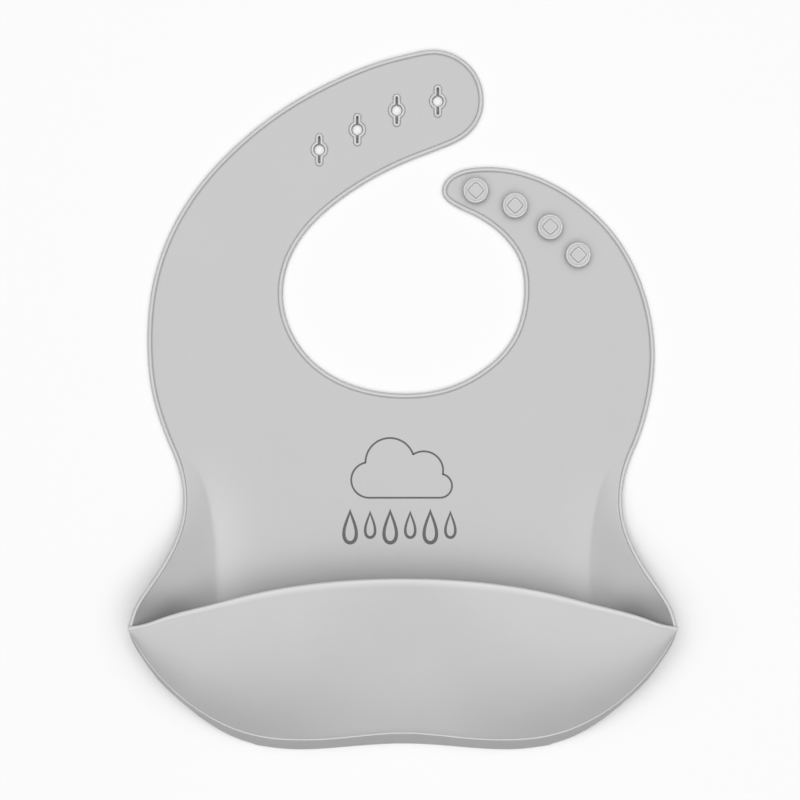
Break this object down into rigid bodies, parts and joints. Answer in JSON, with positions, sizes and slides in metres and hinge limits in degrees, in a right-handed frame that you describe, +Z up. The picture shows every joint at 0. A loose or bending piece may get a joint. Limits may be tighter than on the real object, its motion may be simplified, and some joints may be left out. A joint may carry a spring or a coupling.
{
  "type": "silicone bib",
  "caption": "Silicone baby bib lying flat: rounded chest panel with a raised edge bead, collar straps with studs and keyhole slots, and an open catch pouch.",
  "frame": {"origin": "bottom centre of the bib's box, on the surface it lies on", "axes": "+Z up out of the bib's front, +Y from the pouch towards the collar, +X towards the stud strap's side as seen from the front"},
  "size_m": [0.2326, 0.3, 0.0277],
  "materials": {
    "sheet_silicone": "matte",
    "pouch_silicone": "matte",
    "strap_silicone": "matte",
    "fastener_silicone": "satin",
    "print_ink": "matte"
  },
  "bodies": {
    "back": {"back_panel": "sheet_silicone", "waist_flex": "sheet_silicone", "left_wing": "pouch_silicone", "right_wing": "pouch_silicone", "pouch_bottom_wall": "pouch_silicone", "pouch_flex": "pouch_silicone"},
    "pouch_front": {"pouch_front_wall": "pouch_silicone", "pouch_lip": "pouch_silicone"},
    "chest": {"chest_panel": "sheet_silicone", "slot_strap_flex_1": "strap_silicone", "stud_strap_flex_1": "strap_silicone"},
    "slot_strap_base": {"slot_strap_segment_1": "strap_silicone", "slot_strap_flex_2": "strap_silicone"},
    "slot_strap_middle": {"slot_strap_segment_2": "strap_silicone", "slot_rim_1": "fastener_silicone", "slot_strap_flex_3": "strap_silicone"},
    "slot_strap_end": {"slot_strap_tip": "strap_silicone", "slot_rim_2": "fastener_silicone", "slot_rim_3": "fastener_silicone", "slot_rim_4": "fastener_silicone"},
    "stud_strap_base": {"stud_strap_segment_1": "strap_silicone", "stud_strap_flex_2": "strap_silicone", "fastening_stud_3": "fastener_silicone", "fastening_stud_4": "fastener_silicone"},
    "stud_strap_end": {"stud_strap_tip": "strap_silicone", "fastening_stud_1": "fastener_silicone", "fastening_stud_2": "fastener_silicone"}
  },
  "joints": [
    {"name": "waist_fold", "type": "hinge", "parent": "back", "child": "chest", "pos_m": [0, -0.009, 0.0009], "axis": [1, 0, 0], "range_deg": [-35, 80], "stiffness_Nm_per_rad": 0.02, "deforming": ["waist_flex"]},
    {"name": "pouch_open", "type": "hinge", "parent": "back", "child": "pouch_front", "pos_m": [0, -0.142, 0.012], "axis": [1, 0, 0], "range_deg": [-12, 25], "stiffness_Nm_per_rad": 0.5, "deforming": ["pouch_flex", "left_wing", "right_wing"]},
    {"name": "slot_strap_fold", "type": "hinge", "parent": "chest", "child": "slot_strap_base", "pos_m": [-0.07882, 0.05544, 0.0009], "axis": [0.9914, -0.1305, 0], "range_deg": [-75, 50], "stiffness_Nm_per_rad": 0.01, "deforming": ["slot_strap_flex_1"]},
    {"name": "slot_strap_middle_fold", "type": "hinge", "parent": "slot_strap_base", "child": "slot_strap_middle", "pos_m": [-0.06254, 0.09425, 0.0009], "axis": [0.788, -0.6157, 0], "range_deg": [-37.5, 25], "stiffness_Nm_per_rad": 0.01, "deforming": ["slot_strap_flex_2"]},
    {"name": "slot_strap_end_fold", "type": "hinge", "parent": "slot_strap_middle", "child": "slot_strap_end", "pos_m": [-0.03076, 0.11864, 0.0009], "axis": [0.3907, -0.9205, 0], "range_deg": [-37.5, 25], "stiffness_Nm_per_rad": 0.01, "deforming": ["slot_strap_flex_3"]},
    {"name": "stud_strap_fold", "type": "hinge", "parent": "chest", "child": "stud_strap_base", "pos_m": [0.0805, 0.045, 0.0009], "axis": [1, 0, 0], "range_deg": [-75, 50], "stiffness_Nm_per_rad": 0.01, "deforming": ["stud_strap_flex_1"]},
    {"name": "stud_strap_end_fold", "type": "hinge", "parent": "stud_strap_base", "child": "stud_strap_end", "pos_m": [0.06864, 0.08692, 0.0009], "axis": [0.8517, 0.524, 0], "range_deg": [-37.5, 25], "stiffness_Nm_per_rad": 0.01, "deforming": ["stud_strap_flex_2"]}
  ],
  "couplings": [
    {"joint": "slot_strap_middle_fold", "follows": "slot_strap_fold", "ratio": 0.5},
    {"joint": "slot_strap_end_fold", "follows": "slot_strap_fold", "ratio": 0.5},
    {"joint": "stud_strap_end_fold", "follows": "stud_strap_fold", "ratio": 0.5}
  ]
}
